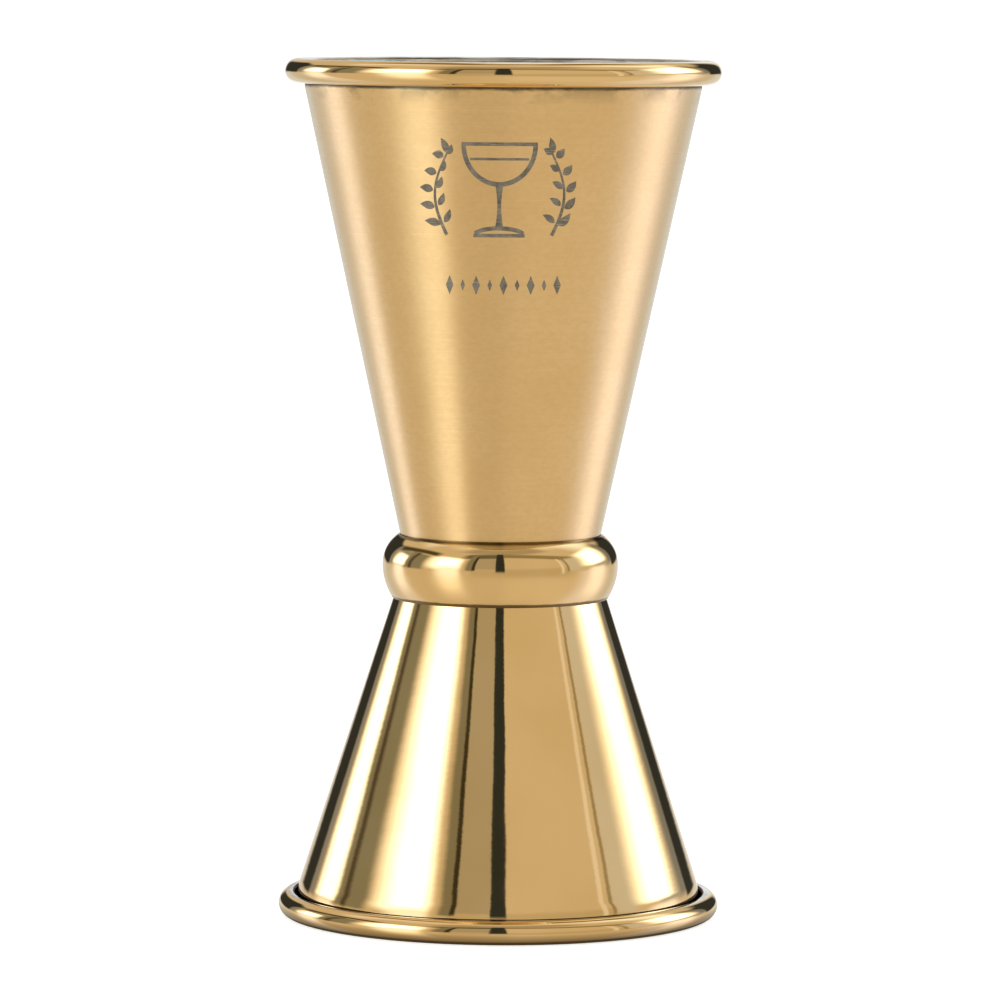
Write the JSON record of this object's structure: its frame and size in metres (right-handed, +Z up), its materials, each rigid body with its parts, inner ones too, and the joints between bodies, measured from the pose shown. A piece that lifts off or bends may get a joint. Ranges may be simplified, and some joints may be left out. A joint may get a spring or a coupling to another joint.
{
  "type": "bar jigger",
  "caption": "Double-ended hourglass measuring jigger: conical metal cups with curled rims, joined floor to floor under a bulging waist collar.",
  "frame": {"origin": "centre of the circle on which the lower rim stands", "axes": "+Z up along the axis of revolution, from the smaller cup's mouth to the larger cup's; +X is any radius, the etched mark faces -Y"},
  "size_m": [0.0528, 0.0528, 0.1028],
  "materials": {
    "satin_gold": "gold-tone plated stainless steel, satin, brushed round the axis; its curl is polished and its inside is bare steel",
    "polished_gold": "gold-tone plated stainless steel, mirror polished; its inside is bare steel",
    "collar_gold": "gold-tone plated stainless steel, mirror polished",
    "braze_metal": "dull braze, hidden between the floors"
  },
  "bodies": {
    "root": {"upper_cup": "satin_gold", "lower_cup": "polished_gold", "waist_collar": "collar_gold", "floor_braze": "braze_metal"}
  },
  "joints": []
}
